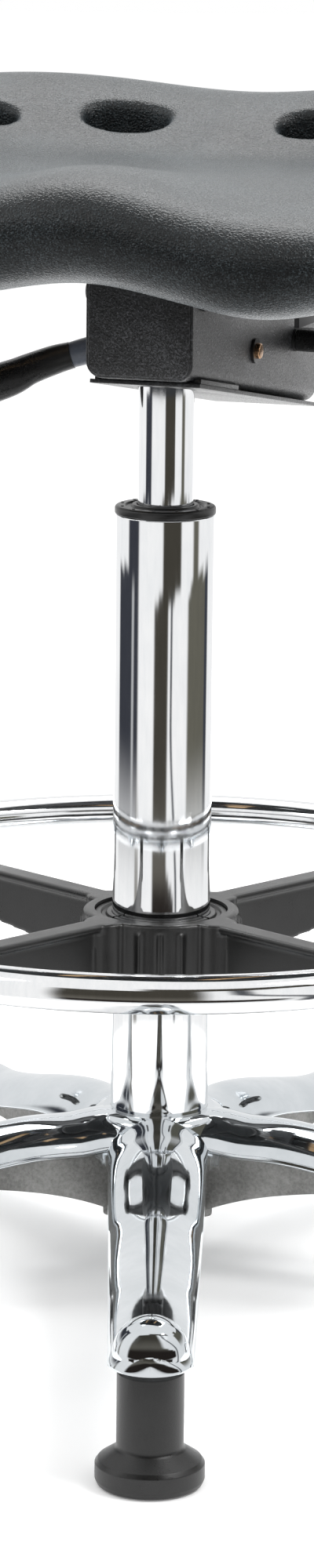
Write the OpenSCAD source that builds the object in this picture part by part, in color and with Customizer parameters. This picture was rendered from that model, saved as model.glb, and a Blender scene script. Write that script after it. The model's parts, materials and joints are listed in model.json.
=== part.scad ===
// Backless drafting stool: contoured seat on a tilting control box, telescopic
// gas column, sliding foot ring and a five-leg cast base on fixed glides.
// Origin: the point on the floor under the column. +Z up, one base leg along -Y.

/* [Seat] */
// Overall width of the seat
seat_w = 444; // [400:2:480]
// Distance from the column to the front edge of the seat
seat_front = 175; // [150:1:190]
// Distance from the column to the rear edge of the seat
seat_rear = 187; // [170:2:210]
// Height of the sitting surface above the floor, lowest setting
seat_z = 567.5; // [555:0.5:585]
// Height of the lip that rises round the back of the seat
lip_h = 27; // [15:1:35]
// Thickness of the rolled front edge
edge_h = 57; // [50:1:60]
// Turn of the seat from the front leg of the base
seat_turn = 17; // [0:1:90]

/* [Column] */
// Outer diameter of the fixed column tube
tube_d = 50; // [48:1:54]
// Top of the column tube
tube_top = 392; // [380:1:410]
// Diameter of the sliding gas cylinder
cylinder_d = 28; // [27:0.5:29]
// Stroke of the gas cylinder
stroke = 245; // [200:5:250]

/* [Control box] */
// Width over the side walls
box_w = 55; // [52:1:60]
// Front wall, ahead of the column
box_front = 47; // [45:1:50]
// Rear wall, behind the column
box_rear = 178; // [170:1:182]
// Height of the underside at the column
box_z = 455; // [452:1:458]
// Slope of the underside, falling to the rear
box_slope = 9.5; // [8:0.5:11]
// Height of the lever shaft
lever_z = 468.5; // [466:0.5:470]

/* [Foot ring] */
// Radius to the middle of the ring's tube
ring_r = 200.6; // [190:0.2:215]
// Diameter of the ring's tube
ring_tube_d = 19; // [19:0.5:22]
// Height of the ring's plane
ring_z = 194.4; // [180:0.2:230]

/* [Base] */
// Radius from the column to each glide
leg_r = 331; // [310:1:340]
// Height of the hub's top
hub_top = 84; // [80:1:88]
// Diameter of each glide's foot
glide_d = 50; // [46:1:54]

/* [Hidden] */
$fn = 96;
legs = 5;
spokes = 4;
sheet = 2.5;
fit = 0.05;                             // radial running clearance
half_box = box_w / 2;
box_top = 514;
plate_z = 519;                          // underside of the seat plate
plate_t = 3;
board_z = plate_z + plate_t;            // underside of the cushion's flat pan
board_t = 11;
tilt_y = -30;
tilt_z = 506;
link_t = 4;
lever_y = 60;
clamp_y = 136;
clamp_z = 466;
shaft_r = 4;
socket_r = 17;
taper_z = 456;
cylinder_top = 505;
cylinder_bottom = 58;
bore_r = 12.5;
piston_z = cylinder_bottom + 79 + stroke; // clears the rod guide at full lift
rocker_y = 26;
rocker_z = 508;
button_r = 4;
rod_r = 5;
tube_r = tube_d / 2;
tube_wall = 2;
tube_bottom = 30;
tube_inner = tube_r - tube_wall;
hub_r = 46;
hub_bottom = 33;
leg_tip_z = 57;
leg_w_root = 51;
leg_w_tip = 39;
dome_r = 17.6;
dome_z = 61.8;
tip_r = 19.6;
ring_hub_top = 188;
ring_hub_h = 40;
bush_r = 34;
bolt_places = [for (x = [-45, 45], y = [-55, 55]) [x, y]];

// ---- helpers -------------------------------------------------------------
function smooth(t) = let (c = min(1, max(0, t))) c * c * (3 - 2 * c);
function mix(a, b, t) = a + (b - a) * t;

module turned() rotate([0, 0, -seat_turn]) children();

// A solid of revolution about the lateral axis through (y, z), from x0 to x1.
module across(x0, x1, r, y, z) translate([x0, y, z]) rotate([0, 90, 0]) cylinder(h = x1 - x0, r = r);

// A flat plate cut to an outline given in (y, z), from x0 to x1.
module side_plate(x0, x1) translate([x0, 0, 0]) rotate([90, 0, 90]) linear_extrude(x1 - x0) children();

module ring_solid(z0, z1, r_in, r_out) difference() {
    translate([0, 0, z0]) cylinder(h = z1 - z0, r = r_out);
    translate([0, 0, z0 - 1]) cylinder(h = z1 - z0 + 2, r = r_in);
}

// ---- seat ----------------------------------------------------------------
// a is the angle from the front, towards the sitter's left; p runs from the
// middle, 0, to the edge, 1.
function outline(a) =
    let (d = cos(a) > 0 ? seat_front : seat_rear, n = 2.4,
         r = pow(pow(abs(sin(a)) * 2 / seat_w, n) + pow(abs(cos(a)) / d, n), -1 / n),
         w = a > 180 ? a - 360 : a)
    r * (1 - 0.045 * exp(-pow(w / 22, 2)));
function lip(a, p) =
    let (side = abs(sin(a)), p0 = 0.2 + 0.12 * side, p1 = 0.72 + 0.2 * side,
         back = smooth((0.55 - cos(a)) / 1.1))
    back * (lip_h + 9 * pow(sin(2 * a), 2)) * smooth((p - p0) / (p1 - p0));
// The front edge dips for the thighs and rises in the middle.
function top_wave(x, y) = smooth((-y - 20) / 110)
    * (-8.5 + 17 * exp(-pow(x / 56, 2)) + 10 * smooth((abs(x) - 120) / 90));
// The lower edge follows it and sags a little more under each thigh.
function low_wave(x, y) = smooth((-y - 20) / 110)
    * (-5 + 13.5 * exp(-pow(x / 56, 2)) - 3 * exp(-pow((abs(x) - 86) / 24, 2))
       + 11 * smooth((abs(x) - 98) / 90));
function across_at(a, p) = p * outline(a) * sin(a);
function along_at(a, p) = -p * outline(a) * cos(a);
function crown(a, p) =
    seat_z + lip(a, p) + top_wave(across_at(a, p), along_at(a, p)) - 3 * exp(-pow(p / 0.35, 2));
function underside(a, p) =
    let (x = across_at(a, p), y = along_at(a, p),
         edge = crown(a, p) + low_wave(x, y) - top_wave(x, y) - mix(edge_h - 15, edge_h, (1 + cos(a)) / 2))
    mix(board_z, edge, smooth((p - 0.55) / 0.3));
// s is +1 on the top and -1 below.
function seat_point(a, p, s) =
    let (top = crown(a, p), low = underside(a, p), r = p * outline(a))
    [r * sin(a), -r * cos(a), (top + low) / 2 + s * pow(1 - pow(p, 9), 0.5) * (top - low) / 2];

around = 60;
steps = 9;
module seat_body() {
    rows = [for (k = [1:steps]) [sin(90 * k / steps), 1],
            for (k = [steps - 1:-1:1]) [sin(90 * k / steps), -1]];
    points = concat([seat_point(0, 0, 1)],
        [for (row = rows, i = [0:around - 1]) seat_point(360 * i / around, row[0], row[1])],
        [seat_point(0, 0, -1)]);
    last = len(points) - 1;
    faces = concat(
        [for (i = [0:around - 1]) [0, 1 + (i + 1) % around, 1 + i]],
        [for (k = [0:len(rows) - 2], i = [0:around - 1])
            let (a = 1 + k * around + i, b = 1 + k * around + (i + 1) % around)
            each [[a, b, b + around], [a, b + around, a + around]]],
        [for (i = [0:around - 1])
            let (k = 1 + (len(rows) - 1) * around) [last, k + i, k + (i + 1) % around]]);
    polyhedron(points, faces);
}
// Oval ventilation hole: length along x, straight through.
module vent(x, y, turn) translate([x, y, 500]) rotate([0, 0, turn]) linear_extrude(120) {
    for (s = [-1, 1]) translate([s * 10.5, 0]) circle(d = 25);
    square([21, 25], center = true);
}
module seat_cushion() color("#26282b") turned() difference() {
    seat_body();
    for (s = [-1, 1]) {
        vent(s * 52, 92, s * -4);
        vent(s * 125, 62, s * -32);
    }
    translate([-85.2, -75.2, board_z - 20]) cube([170.4, 150.4, 20 + board_t]);
}
module seat_board() color("tan") turned() difference() {
    translate([-85, -75, board_z]) cube([170, 150, board_t]);
    for (p = bolt_places) translate([p[0], p[1], board_z - 1]) cylinder(h = board_t + 2, r = 5);
    for (p = bolt_places) translate([p[0], p[1], board_z + board_t - 1.6]) cylinder(h = 3, r = 10);
}
module seat_tee_nuts() color("silver") turned() for (p = bolt_places)
    translate([p[0], p[1], 0]) {
        ring_solid(board_z, board_z + board_t - 1.6, 4.05, 4.95);
        ring_solid(board_z + board_t - 1.6, board_z + board_t, 4.05, 9.5);
    }
module seat_bolts() color("dimgray") turned() for (p = bolt_places)
    translate([p[0], p[1], plate_z - 1.6]) {
        translate([0, 0, -5.5]) cylinder(h = 5.5, r = 7.2, $fn = 6);
        cylinder(h = 1.6 + plate_t + board_t - 2, r = shaft_r);
    }
module seat_washers() color("silver") turned() for (p = bolt_places)
    translate([p[0], p[1], 0]) ring_solid(plate_z - 1.6, plate_z, 4.2, 8.5);

// ---- tilting seat plate --------------------------------------------------
plate_half = 63;
flange_z = 486;
module ear() union() {
    translate([tilt_y, tilt_z]) circle(r = 11);
    translate([tilt_y - 11, tilt_z]) square([22, plate_z - tilt_z]);
}
module seat_plate() color("#232426") turned() difference() {
    union() {
        translate([-plate_half, -75, plate_z]) cube([2 * plate_half, 185, plate_t]);
        for (s = [-1, 1]) {
            side_plate(s * 23 - 1.5, s * 23 + 1.5) ear();
            translate([s * (plate_half - 1.25) - 1.25, s > 0 ? 18 : 72, flange_z])
                cube([sheet, s > 0 ? 92 : 38, plate_z - flange_z]);
        }
    }
    for (p = bolt_places) translate([p[0], p[1], plate_z - 1]) cylinder(h = 6, r = 4.3);
    across(-40, 40, 6.5, tilt_y, tilt_z);
}
// Forked link that the clamp grips; its slot is centred on the tilt pin.
clamp_r = norm([clamp_y - tilt_y, clamp_z - tilt_z]);
clamp_a = atan2(clamp_z - tilt_z, clamp_y - tilt_y);
function tilt_arc(r, a0, a1) = [for (k = [0:12])
    let (a = mix(a0, a1, k / 12)) [tilt_y + r * cos(a), tilt_z + r * sin(a)]];
module tilt_link() color("dimgray") turned() side_plate(-link_t / 2, link_t / 2) difference() {
    translate([117, 443.5]) square([32, plate_z - 443.5]);
    polygon(concat(tilt_arc(clamp_r - 4.6, clamp_a + 2, clamp_a - 14),
                   tilt_arc(clamp_r + 4.6, clamp_a - 14, clamp_a + 2)));
}
module tilt_pin() color("silver") turned() across(-31.5, 31.5, rod_r, tilt_y, tilt_z);
module tilt_bushes() color("ivory") turned() for (s = [-1, 1]) difference() {
    across(s * 23 - 1.9, s * 23 + 1.9, 6.45, tilt_y, tilt_z);
    across(-40, 40, rod_r + fit, tilt_y, tilt_z);
}
module tilt_clips() color("silver") turned() for (s = [-1, 1]) difference() {
    across(s * 29 - 0.6, s * 29 + 0.6, 8, tilt_y, tilt_z);
    across(-40, 40, rod_r, tilt_y, tilt_z);
}

// ---- control box ---------------------------------------------------------
function under(y, up = 0) = box_z + up / cos(box_slope) - y * tan(box_slope);
// Anything lying on the sloped underside, drawn in its own plane.
module sloped(up) translate([0, 0, box_z + up / cos(box_slope)]) rotate([-box_slope, 0, 0]) children();
doubler_up = 2;
web_up = doubler_up + sheet;
module wall_outline() polygon([[-box_front, under(-box_front, web_up)],
    [box_rear, under(box_rear, web_up)], [box_rear, box_top - 12], [box_rear - 30, box_top],
    [-box_front, box_top]]);
module control_box() color("#2b2c2e") turned() difference() {
    side_plate(-half_box, half_box) wall_outline();
    side_plate(half_box - 2 * sheet, half_box + 1) polygon([[66, 487], [94, 482], [94, 530], [66, 530]]);
    side_plate(sheet - half_box, half_box - sheet) polygon([
        [sheet - box_front, under(sheet - box_front, web_up + sheet)],
        [box_rear - sheet, under(box_rear - sheet, web_up + sheet)],
        [box_rear - sheet, box_top + 9], [sheet - box_front, box_top + 9]]);
    cylinder(h = 480, r = socket_r);
    for (at = [[lever_y, lever_z], [clamp_y, clamp_z]]) across(-40, 40, 6.5, at[0], at[1]);
    across(-40, 40, rod_r, tilt_y, tilt_z);
    across(-40, 40, 3, rocker_y, rocker_z);
}
module box_bottom_plate() color("#303134") turned() difference() {
    sloped(0) translate([-half_box - 1, 10 - box_front, 0]) cube([box_w + 2, box_front + box_rear - 8, 2]);
    cylinder(h = 600, r = cylinder_d / 2 + 1);
}
module socket_doubler() color("#1f2022") turned() difference() {
    sloped(doubler_up) translate([-half_box, -32, 0]) cube([box_w, 66, sheet]);
    cylinder(h = 600, r = socket_r);
}
module socket_bridge() color("#2b2c2e") turned() difference() {
    translate([sheet - half_box, -18, cylinder_top - 5]) cube([box_w - 2 * sheet, 39, sheet]);
    cylinder(h = 600, r = socket_r);
}
module taper_socket() color("gray") turned() difference() {
    translate([0, 0, taper_z + 6]) cylinder(h = cylinder_top - 2 - taper_z - 6, r = socket_r);
    gas_taper(0);
}
module shaft_bushes() color("#3a3b3d") turned()
    for (at = [[lever_y, lever_z], [clamp_y, clamp_z]], s = [-1, 1]) difference() {
        union() {
            across(s * 26.5 - 2.5, s * 26.5 + 2.5, 6.45, at[0], at[1]);
            across(s * 23.9 - 0.9, s * 23.9 + 0.9, 8, at[0], at[1]);
        }
        across(-40, 40, shaft_r + fit, at[0], at[1]);
    }

// ---- height lever and valve linkage --------------------------------------
lever_out = -70;
module height_shaft() color("#b08d6e") turned() across(-52, 31.5, shaft_r, lever_y, lever_z);
module height_crank() color("dimgray") turned() difference() {
    union() {
        across(-4, 4, 8, lever_y, lever_z);
        across(-4, 4, 3, 47, lever_z + 1);
        side_plate(-4, 4) polygon([[47, lever_z + 3.6], [lever_y, lever_z + 7],
            [lever_y, lever_z - 7], [47, lever_z - 1.6]]);
    }
    across(-5, 5, shaft_r, lever_y, lever_z);
}
// A bent moulded handle: joined balls along a few hand-placed points [x, y, z, r].
module handle(path) for (k = [0:len(path) - 2]) hull() for (p = [path[k], path[k + 1]])
    translate([p[0], p[1], p[2]]) sphere(r = p[3], $fn = 32);
module height_ferrule() color("#8b93a3") turned() difference() {
    union() {
        across(-40, -31, 7.2, lever_y, lever_z);
        handle([[-40, lever_y, lever_z, 7.2], [-62, lever_y, lever_z - 4.2, 7.1],
            [lever_out - 4, lever_y - 0.8, lever_z - 8, 7]]);
    }
    translate([lever_out - 20, lever_y - 20, lever_z - 25]) cube([20, 40, 40]);
    across(-52, -30, shaft_r, lever_y, lever_z);
}
module height_grip() color("#1d1e20") turned() difference() {
    handle([[lever_out - 4, lever_y - 1, lever_z - 8, 7.2], [-90, 53, 455, 7.8],
        [-104, 44, 448.5, 8.6], [-124, 25, 442, 9.4], [-148, 0, 438, 10]]);
    translate([lever_out, lever_y - 20, lever_z - 25]) cube([20, 40, 40]);
}
module valve_rocker() color("silver") turned() side_plate(-4, 4) difference() {
    union() {
        translate([rocker_y, rocker_z]) circle(r = 6);
        polygon([[-4, 511.5], [rocker_y, 502.5], [rocker_y, 514], [-4, 515]]);
        polygon([[44, lever_z + 4.6], [49, lever_z + 4.6], [32, rocker_z + 1], [23, rocker_z - 5]]);
    }
    translate([rocker_y, rocker_z]) circle(r = 3 + fit);
    translate([-8, 500]) square([17, 11.5]);
}
module rocker_pin() color("silver") turned() across(-27.4, 27.4, 3, rocker_y, rocker_z);
module valve_button() color("white") turned() translate([0, 0, 497]) cylinder(h = 14, r = button_r);

// ---- tilt clamp ----------------------------------------------------------
module tilt_shaft() color("silver") turned() across(-30, 50, shaft_r, clamp_y, clamp_z);
module tilt_clamp_disc() color("dimgray") turned() difference() {
    across(2.6, 8, 9, clamp_y, clamp_z);
    across(0, 10, shaft_r, clamp_y, clamp_z);
}
module tilt_clamp_nut() color("dimgray") turned() difference() {
    translate([-8.6, clamp_y - 8, clamp_z - 8]) cube([6, 16, 16]);
    across(-20, 10, shaft_r + fit, clamp_y, clamp_z);
}
module tilt_grip() color("#1d1e20") turned() difference() {
    union() {
        across(29.5, 44, 6.2, clamp_y, clamp_z);
        handle([[44, clamp_y, clamp_z, 6.2], [66, 128, 461, 7], [92, 106, 455, 8], [112, 80, 452, 9]]);
    }
    across(20, 50, shaft_r, clamp_y, clamp_z);
}

// ---- gas cylinder --------------------------------------------------------
module gas_taper(extra) translate([0, 0, taper_z])
    cylinder(h = cylinder_top - taper_z + extra, r1 = cylinder_d / 2, r2 = cylinder_d / 2 - 0.8);
module gas_cylinder() color("silver") difference() {
    union() {
        translate([0, 0, cylinder_bottom]) cylinder(h = taper_z - cylinder_bottom, r = cylinder_d / 2);
        gas_taper(0);
    }
    translate([0, 0, cylinder_bottom - 1]) cylinder(h = 440 - cylinder_bottom, r = bore_r);
    translate([0, 0, 493]) cylinder(h = 20, r = button_r + fit);
}
module rod_guide() color("dimgray") ring_solid(cylinder_bottom + 2, cylinder_bottom + 16, rod_r + fit, bore_r);
module piston() color("goldenrod") ring_solid(piston_z, piston_z + 12, rod_r, bore_r - fit);
module piston_rod() color("silver") translate([0, 0, 31]) cylinder(h = piston_z + 14 - 31, r = rod_r);
module rubber_buffer() color("#202020") ring_solid(44, cylinder_bottom - 2, rod_r, 10.5);
module bearing_upper_race() color("silver") ring_solid(42.6, 44, rod_r, 12);
module bearing_balls() color("silver") for (i = [0:8])
    rotate([0, 0, 40 * i]) translate([8.6, 0, 40.5]) sphere(r = 2);
module bearing_lower_race() color("silver") ring_solid(37, 38.5, rod_r + 0.3, 12);
module rod_clip() color("dimgray") ring_solid(31.3, 32.5, rod_r, 8);

// ---- column --------------------------------------------------------------
module column_tube() color("silver") ring_solid(tube_bottom, tube_top, tube_inner, tube_r);
module column_end_plate() color("silver") ring_solid(33, 37, rod_r + 0.1, tube_inner);
module guide_bush() color("#202123") ring_solid(264, tube_top, cylinder_d / 2 + fit, tube_inner);
module column_collar() color("#161718") ring_solid(tube_top, tube_top + 5, cylinder_d / 2 + 0.4, tube_r + 0.5);

// ---- foot ring -----------------------------------------------------------
module foot_ring() color("silver") translate([0, 0, ring_z]) rotate_extrude()
    translate([ring_r, 0]) difference() {
        circle(d = ring_tube_d);
        circle(d = ring_tube_d - 3);
    }
hub_z = ring_hub_top - ring_hub_h;
// One spoke along +X: a tapering web, a flat top flange and a cup under the ring.
module spoke() difference() {
    union() {
        translate([0, 2.5, 0]) rotate([90, 0, 0]) linear_extrude(5) polygon([[36, hub_z + 2],
            [ring_r - 8, 168], [ring_r - 8, ring_hub_top], [36, ring_hub_top]]);
        translate([36, -7, ring_hub_top - 4]) cube([ring_r - 44, 14, 4]);
        translate([ring_r - 18, -12, 168]) cube([27, 24, ring_z - 168]);
    }
    translate([0, 0, ring_z]) rotate_extrude() translate([ring_r, 0]) circle(d = ring_tube_d);
    translate([ring_r, 0, 160]) cylinder(h = 40, r = 3.1);
}
module foot_ring_hub() color("#2a2b2d") difference() {
    union() {
        translate([0, 0, hub_z]) cylinder(h = ring_hub_h, r = 40);
        for (i = [0:spokes - 1]) rotate([0, 0, 45 + 360 / spokes * i]) spoke();
    }
    translate([0, 0, hub_z - 1]) cylinder(h = ring_hub_h + 2, r = bush_r + fit);
}
module foot_ring_bush() color("#1c1d1f") difference() {
    union() {
        ring_solid(hub_z - 6, ring_hub_top - 1.5, tube_r + fit, bush_r);
        ring_solid(hub_z - 6, hub_z - 0.3, tube_r + fit, bush_r + 4);
    }
    translate([0, 0, hub_z + 6]) for (a = [0:120:240]) rotate([0, 0, a + 90])
        translate([0, -0.8, 0]) cube([40, 1.6, 60]);
}
module foot_ring_screws() color("silver") for (i = [0:spokes - 1])
    rotate([0, 0, 45 + 360 / spokes * i]) translate([ring_r, 0, 0]) {
        translate([0, 0, 164.6]) cylinder(h = 3.4, r = 5.5);
        translate([0, 0, 168]) cylinder(h = ring_z - ring_tube_d / 2 - 168, r = 3);
    }

// ---- base ----------------------------------------------------------------
function leg_top(r) = 68.5 + (hub_top - 70.5) * (1 - smooth((r - 60) / 95)) + 2 * smooth((r - 200) / 90);
function leg_low(r) = mix(hub_bottom, leg_tip_z, 1 - exp(-max(0, r - 25) / 44));
function leg_half(r) = mix(leg_w_root, leg_w_tip, (r - 30) / (leg_r - 30)) / 2;
leg_end = leg_r + 3;                    // just inside the dome, clear of its middle
stations = [for (k = [0:20]) mix(20, leg_end, k / 20)];
module leg_side(drop, shave) rotate([90, 0, 0]) translate([0, 0, -40]) linear_extrude(80) polygon(concat(
    [for (r = stations) [r, leg_top(r) - drop]],
    [for (k = [len(stations) - 1:-1:0]) [stations[k], leg_low(stations[k]) - shave]]));
module leg_plan(wall, reach) linear_extrude(120) polygon([
    [20, -leg_half(20) + wall], [reach, -leg_half(reach) + wall],
    [reach, leg_half(reach) - wall], [20, leg_half(20) - wall]]);
module leg() difference() {
    union() {
        intersection() {
            leg_side(0, 0);
            leg_plan(0, leg_end);
        }
        translate([leg_r, 0, 0]) rotate_extrude() polygon(concat([[0, leg_tip_z],
            [tip_r, leg_tip_z], [tip_r, dome_z + 1], [dome_r, dome_z + 1]],
            [for (a = [9:9:81]) [dome_r * cos(a), dome_z + dome_r * sin(a)]],
            [[0, dome_z + dome_r * sin(81)]]));
    }
    intersection() {
        leg_side(5, 60);
        leg_plan(4, leg_r - 22);
    }
    translate([leg_r, 0, 50]) cylinder(h = 22, r = 5.5);
}
module base_casting() color("silver") difference() {
    union() {
        for (i = [0:legs - 1]) rotate([0, 0, 360 / legs * i - 90]) leg();
        translate([0, 0, hub_bottom]) cylinder(h = hub_top - hub_bottom, r = hub_r);
    }
    cylinder(h = 200, r = tube_r);
}
glide_top = leg_tip_z - 1.5;
module glide_stems() color("silver") for (i = [0:legs - 1])
    rotate([0, 0, 360 / legs * i - 90]) translate([leg_r, 0, 0]) {
        translate([0, 0, 38]) cylinder(h = 33, r = 5.4);
        translate([0, 0, glide_top]) cylinder(h = 1.5, r = 9);
    }
module glide(i) color("#1b1b1c") rotate([0, 0, 360 / legs * i - 90]) translate([leg_r, 0, 0])
    difference() {
        rotate_extrude() polygon([[0, 0], [glide_d / 2 - 3.5, 0], [glide_d / 2 - 1, 1],
            [glide_d / 2, 3.5], [glide_d / 2, 10.5], [glide_d / 2 - 1.5, 12.5], [15.3, 18],
            [15.3, glide_top - 2], [13.5, glide_top], [0, glide_top]]);
        translate([0, 0, 38]) cylinder(h = 30, r = 5.4);
    }
module glide_1() glide(0);
module glide_2() glide(1);
module glide_3() glide(2);
module glide_4() glide(3);
module glide_5() glide(4);

seat_cushion();
seat_board();
seat_tee_nuts();
seat_bolts();
seat_washers();
seat_plate();
tilt_link();
tilt_pin();
tilt_bushes();
tilt_clips();
control_box();
box_bottom_plate();
socket_doubler();
socket_bridge();
taper_socket();
shaft_bushes();
height_shaft();
height_crank();
height_ferrule();
height_grip();
valve_rocker();
rocker_pin();
valve_button();
tilt_shaft();
tilt_clamp_disc();
tilt_clamp_nut();
tilt_grip();
gas_cylinder();
rod_guide();
piston();
piston_rod();
rubber_buffer();
bearing_upper_race();
bearing_balls();
bearing_lower_race();
rod_clip();
column_tube();
column_end_plate();
guide_bush();
column_collar();
foot_ring();
foot_ring_hub();
foot_ring_bush();
foot_ring_screws();
base_casting();
glide_stems();
glide_1();
glide_2();
glide_3();
glide_4();
glide_5();
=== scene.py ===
"""Looks for the backless industrial drafting stool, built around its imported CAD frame.

Shapes are worked out in millimetres and turned into metres where a mesh is made;
the studio at the end is in metres. The seat frame has -y to the front of the seat,
and the seat and its control box are turned on the column by TURN.
"""
import json
import math
import bmesh
import bpy
import numpy as np
from mathutils import Matrix, Vector


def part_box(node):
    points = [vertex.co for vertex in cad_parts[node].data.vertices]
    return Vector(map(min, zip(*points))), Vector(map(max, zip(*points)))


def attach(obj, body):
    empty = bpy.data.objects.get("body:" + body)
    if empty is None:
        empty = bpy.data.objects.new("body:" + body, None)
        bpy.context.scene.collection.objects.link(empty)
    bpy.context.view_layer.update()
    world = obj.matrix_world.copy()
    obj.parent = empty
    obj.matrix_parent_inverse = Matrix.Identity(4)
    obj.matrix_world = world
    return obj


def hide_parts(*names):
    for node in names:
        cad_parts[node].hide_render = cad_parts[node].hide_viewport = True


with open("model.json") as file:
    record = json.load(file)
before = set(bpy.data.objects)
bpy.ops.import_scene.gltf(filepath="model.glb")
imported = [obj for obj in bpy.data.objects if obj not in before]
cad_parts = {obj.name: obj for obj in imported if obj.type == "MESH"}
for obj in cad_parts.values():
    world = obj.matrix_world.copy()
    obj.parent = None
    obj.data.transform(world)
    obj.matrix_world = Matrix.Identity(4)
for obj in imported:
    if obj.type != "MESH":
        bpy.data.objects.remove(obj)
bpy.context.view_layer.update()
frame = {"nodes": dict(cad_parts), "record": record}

MM = 0.001
TURN = -17              # degrees from the row frame to the seat frame
LEGS = 5
LEG_ANGLES = [360 / LEGS * k - 90 for k in range(LEGS)]
BODY_OF = {node: body for body, nodes in frame["record"]["behaviour"]["bodies"].items()
           for node in nodes}
SLOT_OF = {name: node.material_slots[0].material.name for name, node in frame["nodes"].items()}


# ---- small mathematics -----------------------------------------------------------
def smooth(t):
    c = np.clip(t, 0.0, 1.0)
    return c * c * (3 - 2 * c)


def mix(a, b, t):
    return a + (b - a) * t


def box_mm(node):
    low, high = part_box(node)
    return [c / MM for c in low], [c / MM for c in high]


def spun(points, angle):
    """Points turned about the column by angle in degrees."""
    p = np.asarray(points, float)
    c, s = math.cos(math.radians(angle)), math.sin(math.radians(angle))
    return np.stack([p[..., 0] * c - p[..., 1] * s, p[..., 0] * s + p[..., 1] * c, p[..., 2]], -1)


def turned(points):
    """Seat-frame points to the row frame."""
    return spun(points, TURN)


def circle(count):
    """Angles once round, without the last one."""
    return np.linspace(0, 2 * math.pi, count, endpoint=False)


def upright(x, y):
    """Places a revolved outline on the upright axis through (x, y)."""
    return lambda r, t, h: (x + r * math.cos(t), y + r * math.sin(t), h)


def across(y, z):
    """Places a revolved outline on the lateral axis through (y, z)."""
    return lambda r, t, h: (h, y + r * math.cos(t), z + r * math.sin(t))


def filleted(corners, steps=5, closed=True):
    """An outline of (u, v, radius) corners with each corner rounded to its radius."""
    out = []
    n = len(corners)
    for i, (u, v, radius) in enumerate(corners):
        p = Vector((u, v))
        if radius <= 0 or (not closed and i in (0, n - 1)):
            out.append((u, v))
            continue
        a = Vector(corners[i - 1][:2]) - p
        b = Vector(corners[(i + 1) % n][:2]) - p
        half = a.angle(b) / 2
        reach = min(radius / math.tan(half), 0.48 * a.length, 0.48 * b.length)
        a.normalize()
        b.normalize()
        centre = p + (a + b).normalized() * (reach / math.cos(half))
        first, last = p + a * reach - centre, p + b * reach - centre
        start = math.atan2(first.y, first.x)
        sweep = math.atan2(last.y, last.x) - start
        sweep = (sweep + math.pi) % (2 * math.pi) - math.pi
        size = first.length
        for k in range(steps + 1):
            t = start + sweep * k / steps
            out.append((centre.x + size * math.cos(t), centre.y + size * math.sin(t)))
    return out


# ---- meshes ----------------------------------------------------------------------
class Shape:
    """Vertices in millimetres and faces, gathered from several solids."""

    def __init__(self):
        self.points = []
        self.faces = []

    def add(self, points, faces):
        base = len(self.points)
        self.points.extend(map(tuple, np.asarray(points, float)))
        self.faces.extend(tuple(base + i for i in face) for face in faces)
        return self

    def tube(self, rings, loop=False):
        """Joins equal rings of points, each going round the same way."""
        rings = [np.asarray(r, float) for r in rings]
        n, m = len(rings), len(rings[0])
        faces = []
        for k in range(n if loop else n - 1):
            a, b = k * m, ((k + 1) % n) * m
            faces += [(a + i, a + (i + 1) % m, b + (i + 1) % m, b + i) for i in range(m)]
        if not loop:
            faces.append(tuple(range(m - 1, -1, -1)))
            faces.append(tuple((n - 1) * m + i for i in range(m)))
        return self.add(np.concatenate(rings), faces)

    def revolved(self, outline, place=upright(0, 0), turns=96):
        """A closed (radius, height) outline swept round the axis that place gives."""
        rings = []
        for k in range(turns):
            t = 2 * math.pi * k / turns
            rings.append([place(r, t, h) for r, h in outline])
        return self.tube(rings, loop=True)

    def block(self, low, high):
        (x0, y0, z0), (x1, y1, z1) = low, high
        return self.tube([[(x0, y0, z), (x1, y0, z), (x1, y1, z), (x0, y1, z)] for z in (z0, z1)])

    def mapped(self, change):
        self.points = [tuple(p) for p in change(np.asarray(self.points, float))]
        return self

    def object(self, name):
        mesh = bpy.data.meshes.new(name)
        mesh.from_pydata([(x * MM, y * MM, z * MM) for x, y, z in self.points], [], self.faces)
        work = bmesh.new()
        work.from_mesh(mesh)
        bmesh.ops.remove_doubles(work, verts=work.verts, dist=1e-6)
        bmesh.ops.dissolve_degenerate(work, edges=work.edges, dist=1e-7)
        bmesh.ops.recalc_face_normals(work, faces=work.faces)
        work.to_mesh(mesh)
        work.free()
        obj = bpy.data.objects.new(name, mesh)
        bpy.context.scene.collection.objects.link(obj)
        return obj


def baked(obj, *modifiers):
    """Gives obj the mesh that modifiers of (type, settings) make of it."""
    for kind, settings in modifiers:
        modifier = obj.modifiers.new(kind.lower(), kind)
        for key, value in settings.items():
            setattr(modifier, key, value)
    bpy.context.view_layer.update()
    shown = obj.evaluated_get(bpy.context.evaluated_depsgraph_get())
    mesh = bpy.data.meshes.new_from_object(shown)
    old = obj.data
    obj.modifiers.clear()
    obj.data = mesh
    bpy.data.meshes.remove(old)


def cut(obj, tool, how="DIFFERENCE"):
    baked(obj, ("BOOLEAN", {"object": tool, "operation": how, "solver": "EXACT"}))
    bpy.data.objects.remove(tool)


def turn_to_seat(obj):
    """Turns a mesh made in the seat frame onto its place in the row frame."""
    points = np.empty(len(obj.data.vertices) * 3)
    obj.data.vertices.foreach_get("co", points)
    obj.data.vertices.foreach_set("co", turned(points.reshape(-1, 3)).ravel())


def finished(obj, node, slot, sharp=40):
    """Shades, colours and seats a piece that stands for a CAD node."""
    mesh = obj.data
    mesh.polygons.foreach_set("use_smooth", [True] * len(mesh.polygons))
    mesh.set_sharp_from_angle(angle=math.radians(sharp))
    mesh.update()
    mesh.materials.clear()
    mesh.materials.append(MATERIALS[slot])
    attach(obj, BODY_OF[node])
    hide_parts(node)


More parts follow.
